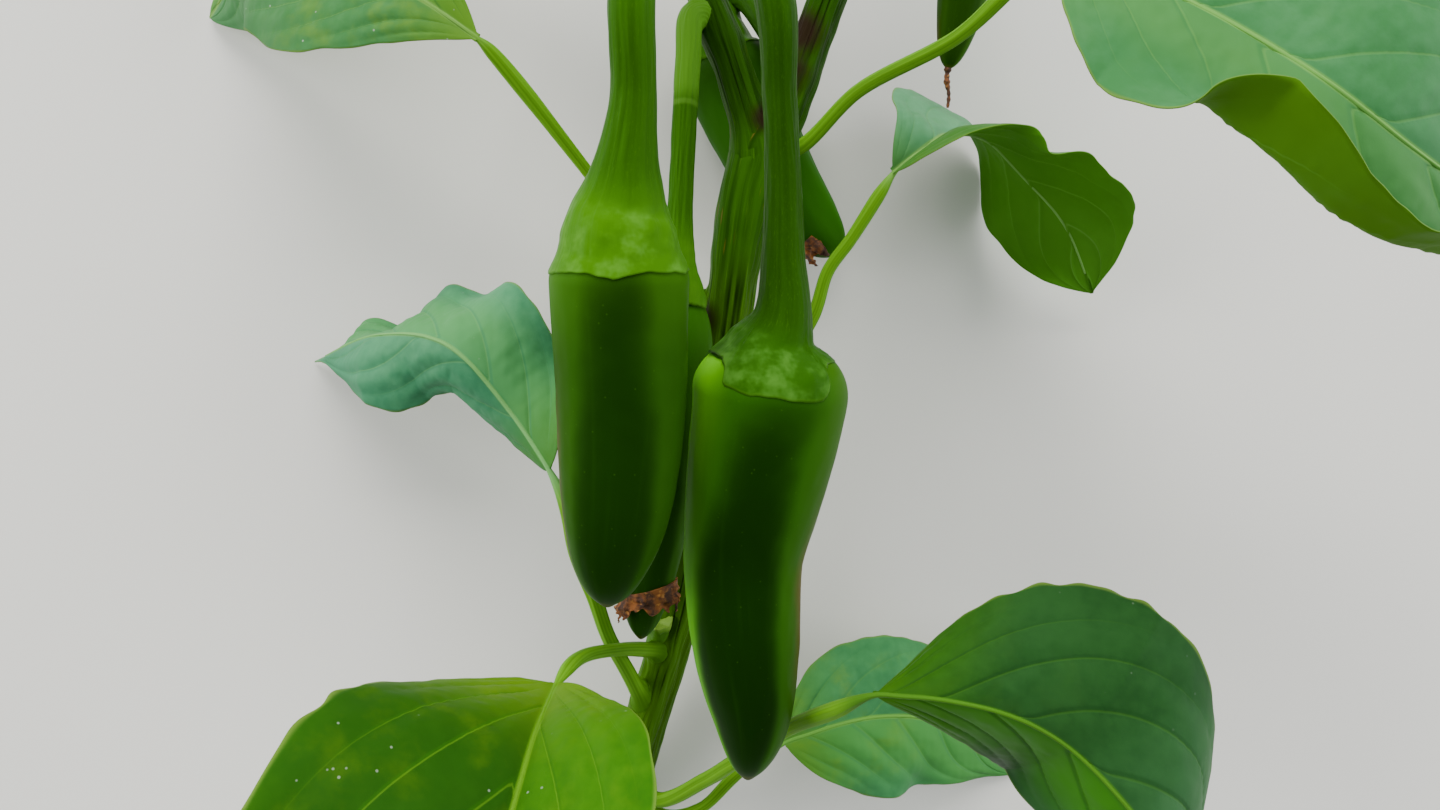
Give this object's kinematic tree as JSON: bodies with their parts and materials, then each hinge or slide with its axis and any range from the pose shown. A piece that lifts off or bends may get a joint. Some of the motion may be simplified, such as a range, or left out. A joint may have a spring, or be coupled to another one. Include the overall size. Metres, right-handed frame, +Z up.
{
  "type": "chilli pepper stem with fruit",
  "caption": "Cut fruiting stem of a chilli pepper plant with a forked stem, hanging green pods on their stalks and broad leaves, lying on its back.",
  "frame": {"origin": "centre of the bounding box at its underside, on the surface that the cut stem lies on", "axes": "+Y along the stem as it grew, from its cut end to its branches, +Z up from the surface to the side with the front pods, +X to the right of the stem seen from above"},
  "size_m": [0.2479, 0.2494, 0.122],
  "materials": {
    "stem": "satin green bark with lengthwise grooves",
    "pod": "smooth waxy dark green skin",
    "stalk": "satin light green skin",
    "leaf": "matte to satin green blade, quilted between its veins"
  },
  "bodies": {
    "root": {"main_stem": "stem", "left_branch": "stem", "right_branch": "stem", "pod_front_right": "pod", "pod_front_left": "pod", "pod_behind_left": "pod", "pod_behind_stem": "pod", "pod_upper_right": "pod", "stalk_front_right": "stalk", "stalk_front_left": "stalk", "stalk_behind_left": "stalk", "stalk_behind_stem": "stalk", "stalk_upper_right": "stalk", "leaf_upper_left": "leaf", "leaf_middle_left": "leaf", "leaf_lower_left": "leaf", "leaf_lower_right": "leaf", "leaf_low_behind": "leaf", "leaf_middle_right": "leaf", "leaf_upper_right": "leaf"}
  },
  "joints": []
}
